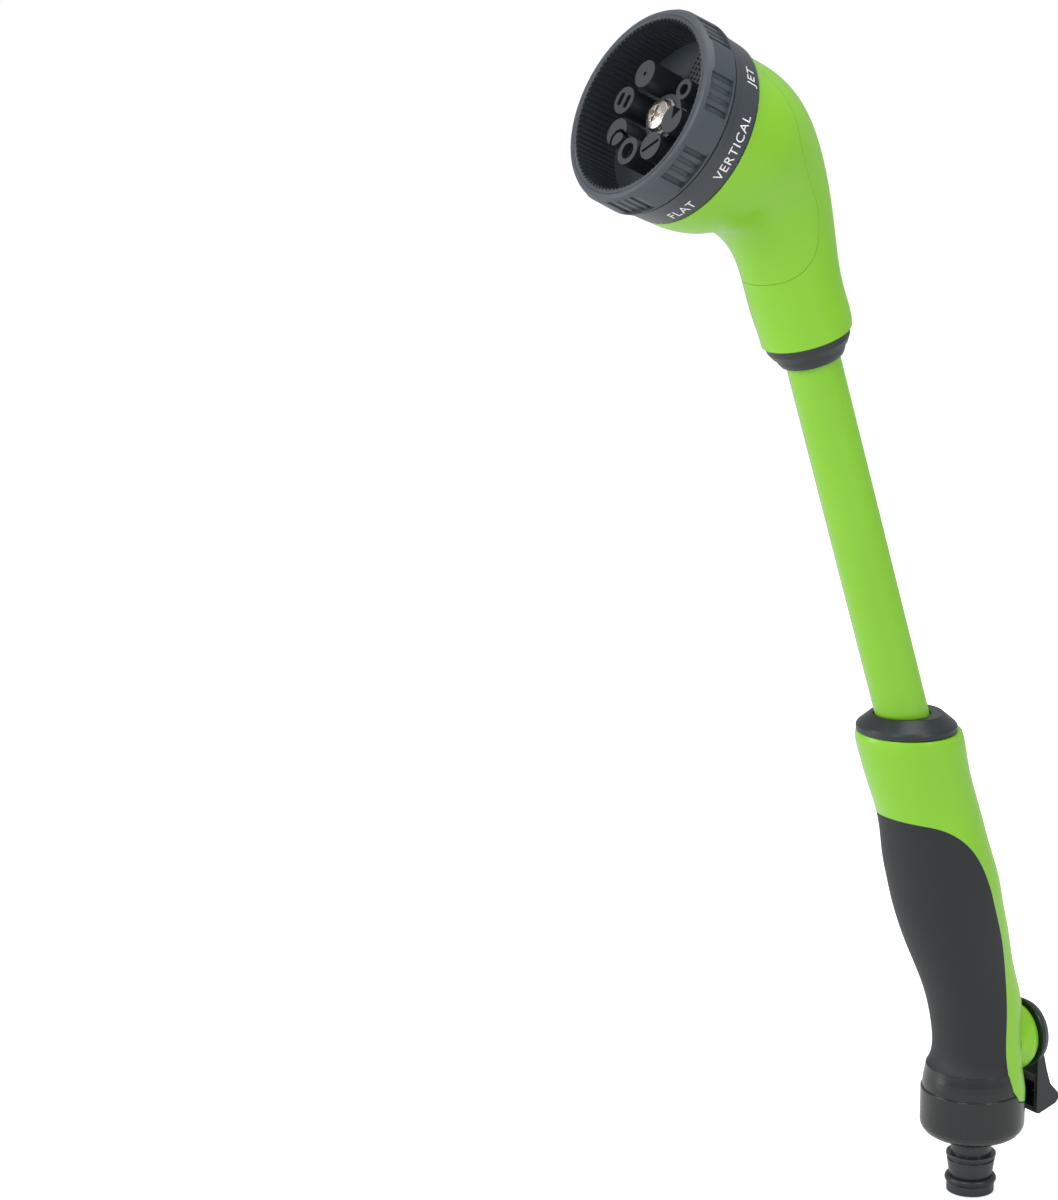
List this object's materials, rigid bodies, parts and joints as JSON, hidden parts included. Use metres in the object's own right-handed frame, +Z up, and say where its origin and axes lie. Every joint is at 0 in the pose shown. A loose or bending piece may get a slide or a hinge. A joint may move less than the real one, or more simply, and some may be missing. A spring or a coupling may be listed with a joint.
{
  "type": "garden watering wand",
  "caption": "Watering wand with a turning multi-pattern spray dial on a bent head, a leaning tube, a soft-grip handle, a quarter-turn flow lever and a quick-release hose plug.",
  "frame": {"origin": "centre of the hose plug's tip face", "axes": "+Z up along the hose plug and base, -X towards the spray head, so the wand lies in the XZ plane; +X towards the flow lever"},
  "size_m": [0.1866, 0.0628, 0.4035],
  "materials": {
    "connector_plastic": "moulded",
    "seal_rubber": "smooth",
    "screen_steel": "perforated",
    "base_plastic": "gloss",
    "valve_plastic": "moulded",
    "lever_plastic": "moulded",
    "fastener_steel": "plain",
    "grip_rubber": "matte",
    "green_plastic": "satin",
    "pipe_plastic": "moulded",
    "tube_paint": "satin paint on aluminium",
    "ring_plastic": "moulded",
    "dial_plastic": "moulded",
    "bezel_rubber": "matte",
    "outlet_plastic": "moulded",
    "screw_nickel": "nickel plated"
  },
  "bodies": {
    "wand": {"hose_connector": "connector_plastic", "connector_ring": "seal_rubber", "inlet_screen": "screen_steel", "base_housing": "base_plastic", "soft_grip": "grip_rubber", "handle_shell": "green_plastic", "handle_pipe": "pipe_plastic", "pipe_ring": "seal_rubber", "tube": "tube_paint", "handle_ring": "ring_plastic", "collar_nut": "ring_plastic", "collar_seal": "seal_rubber", "head_front_shell": "green_plastic", "head_back_shell": "green_plastic", "head_pipe": "pipe_plastic", "head_pipe_ring": "seal_rubber", "bearing_plate": "pipe_plastic", "port_seal": "seal_rubber", "detent_ball": "fastener_steel", "detent_spring": "fastener_steel", "dial_washer": "fastener_steel", "dial_screw": "screw_nickel"},
    "dial": {"dial_body": "dial_plastic", "dial_grip_ring": "bezel_rubber", "jet_outlet": "outlet_plastic", "flat_outlet": "outlet_plastic", "fan_outlet": "outlet_plastic", "soaker_outlet": "outlet_plastic", "mist_outlet": "outlet_plastic", "cone_outlet": "outlet_plastic", "curved_outlet": "outlet_plastic", "shower_plate": "outlet_plastic"},
    "valve": {"valve_plug": "valve_plastic", "valve_rings": "seal_rubber", "valve_lever": "lever_plastic", "lever_screw": "fastener_steel"}
  },
  "joints": [
    {"name": "dial_turn", "type": "hinge", "parent": "wand", "child": "dial", "pos_m": [-0.1425, 0, 0.3764], "axis": [-0.8996, 0, 0.4368], "continuous": true},
    {"name": "valve_turn", "type": "hinge", "parent": "wand", "child": "valve", "pos_m": [0, 0, 0.0524], "axis": [1, 0, 0], "range_deg": [0, 90]}
  ]
}
